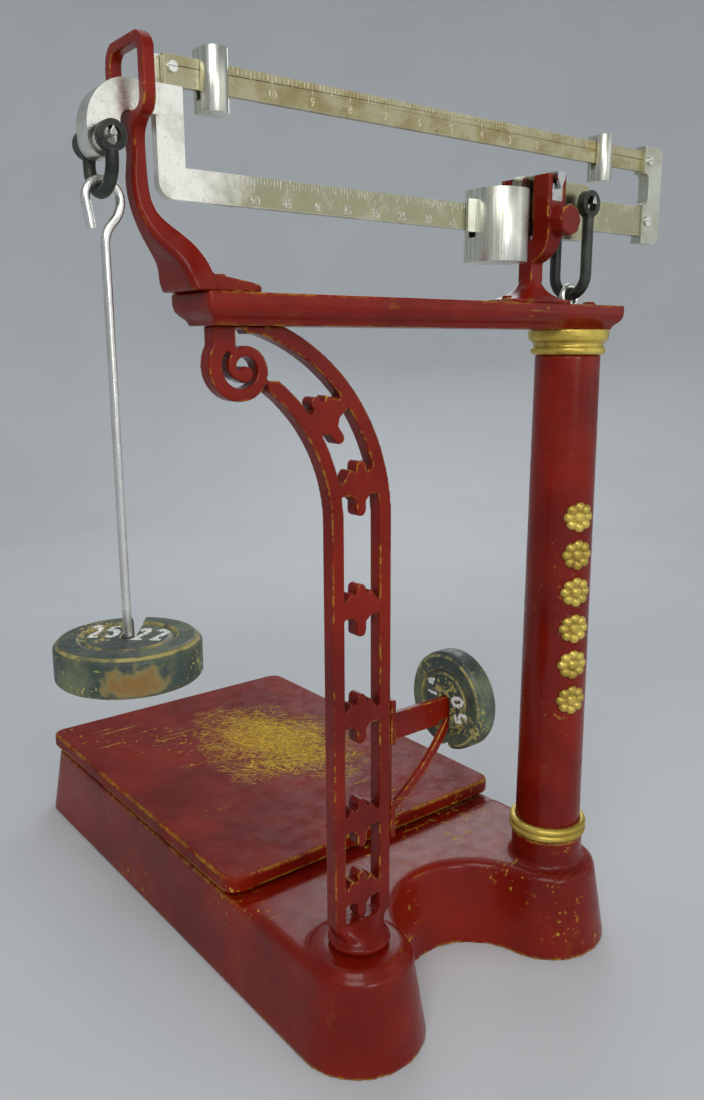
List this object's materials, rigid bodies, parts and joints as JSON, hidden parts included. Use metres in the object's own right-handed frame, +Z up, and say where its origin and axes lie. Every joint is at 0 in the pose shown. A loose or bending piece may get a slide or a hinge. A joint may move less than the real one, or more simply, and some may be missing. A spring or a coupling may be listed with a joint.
{
  "type": "antique counter bench scale",
  "caption": "Antique cast-iron counter scale: platform base, column and scroll pillar, shelf, and a steelyard beam with poises and slotted weights.",
  "frame": {"origin": "bottom centre of the whole scale's box, on the floor", "axes": "+Z up; +X along the shelf from the beam's nose to its tail; +Y back under the platform"},
  "size_m": [0.461, 0.495, 0.5865],
  "materials": {
    "red_enamel": "aged gloss enamel, worn to a yellow underpaint on edges",
    "gilt_paint": "old gilt paint",
    "nickel_plate": "worn nickel plate",
    "worn_brass": "brass showing through worn nickel",
    "hardened_steel": "ground",
    "bright_steel": "bright drawn wire",
    "black_iron": "black japanned",
    "green_iron": "chipped dark green paint",
    "cast_grey": "raw casting"
  },
  "bodies": {
    "stand": {"base_casting": "red_enamel", "column": "red_enamel", "column_collar": "gilt_paint", "column_capital": "gilt_paint", "column_rosettes": "gilt_paint", "scroll_pillar": "red_enamel", "shelf": "red_enamel", "trig_stand": "red_enamel", "fulcrum_stand": "red_enamel", "fulcrum_bearings": "hardened_steel", "weight_rack": "red_enamel", "shelf_screw": "red_enamel", "trig_screw": "red_enamel", "fulcrum_screws": "red_enamel", "column_bolts": "black_iron", "pillar_bolt": "black_iron", "rack_screws": "red_enamel", "base_bearings": "hardened_steel"},
    "beam": {"beam": "nickel_plate", "upper_bar": "worn_brass", "beam_end_bracket": "nickel_plate", "beam_screws": "hardened_steel", "fulcrum_pivot": "hardened_steel", "load_pivot": "hardened_steel", "tip_pivot": "hardened_steel"},
    "lower_poise": {"lower_poise": "nickel_plate", "lower_poise_index": "nickel_plate"},
    "upper_poise": {"upper_poise": "nickel_plate"},
    "balance_poise": {"balance_poise": "nickel_plate"},
    "tip_shackle": {"tip_shackle": "black_iron"},
    "counterpoise": {"counterpoise_hook": "bright_steel", "counterpoise_seat": "bright_steel"},
    "hanging_weight": {"hanging_weight": "green_iron"},
    "spare_weight": {"spare_weight": "green_iron"},
    "steelyard": {"load_shackle": "black_iron", "steelyard_rod": "bright_steel"},
    "long_lever": {"long_lever": "cast_grey", "long_lever_pivots": "hardened_steel"},
    "short_lever": {"short_lever": "cast_grey", "short_lever_pivots": "hardened_steel"},
    "lever_links": {"lever_links": "black_iron"},
    "platform": {"platform": "red_enamel", "platform_bearings": "hardened_steel"}
  },
  "joints": [
    {"name": "beam_tilt", "type": "hinge", "parent": "stand", "child": "beam", "pos_m": [0.0995, -0.2015, 0.543], "axis": [0, 1, 0], "range_deg": [0, 2.5]},
    {"name": "lower_poise_slide", "type": "slide", "parent": "beam", "child": "lower_poise", "axis": [-1, 0, 0], "range_m": [0, 0.16]},
    {"name": "upper_poise_slide", "type": "slide", "parent": "beam", "child": "upper_poise", "axis": [1, 0, 0], "range_m": [0, 0.26]},
    {"name": "balance_poise_slide", "type": "slide", "parent": "beam", "child": "balance_poise", "axis": [1, 0, 0], "range_m": [-0.015, 0.035]},
    {"name": "tip_shackle_swing", "type": "hinge", "parent": "beam", "child": "tip_shackle", "pos_m": [-0.1935, -0.2015, 0.543], "axis": [0, 1, 0], "range_deg": [-5, 20]},
    {"name": "hook_swing", "type": "hinge", "parent": "tip_shackle", "child": "counterpoise", "pos_m": [-0.1935, -0.2015, 0.517], "axis": [0, 1, 0], "range_deg": [-6, 25]},
    {"name": "hanging_weight_lift", "type": "slide", "parent": "counterpoise", "child": "hanging_weight", "axis": [0, 0, 1], "range_m": [0, 0.12]},
    {"name": "spare_weight_lift", "type": "slide", "parent": "stand", "child": "spare_weight", "axis": [0, 0, 1], "range_m": [0, 0.04]},
    {"name": "load_shackle_swing", "type": "hinge", "parent": "beam", "child": "steelyard", "pos_m": [0.1395, -0.2015, 0.543], "axis": [0, 1, 0], "range_deg": [-2.6, 0]},
    {"name": "long_lever_tilt", "type": "hinge", "parent": "stand", "child": "long_lever", "pos_m": [0.047, 0.2035, 0.03], "axis": [1, 0, 0], "range_deg": [0, 0.25]},
    {"name": "short_lever_tilt", "type": "hinge", "parent": "stand", "child": "short_lever", "pos_m": [0.047, -0.0835, 0.03], "axis": [1, 0, 0], "range_deg": [-0.35, 0]},
    {"name": "link_swing", "type": "hinge", "parent": "long_lever", "child": "lever_links", "pos_m": [0.047, 0.0365, 0.0373], "axis": [1, 0, 0], "range_deg": [-0.25, 0]},
    {"name": "platform_travel", "type": "slide", "parent": "stand", "child": "platform", "axis": [0, 0, 1], "range_m": [-0.00035, 0]}
  ],
  "couplings": [
    {"joint": "load_shackle_swing", "follows": "beam_tilt", "ratio": -1},
    {"joint": "long_lever_tilt", "follows": "beam_tilt", "ratio": 0.098765},
    {"joint": "short_lever_tilt", "follows": "beam_tilt", "ratio": -0.13745},
    {"joint": "link_swing", "follows": "beam_tilt", "ratio": -0.098765},
    {"joint": "platform_travel", "follows": "beam_tilt", "m_per_rad": -0.0079012}
  ]
}
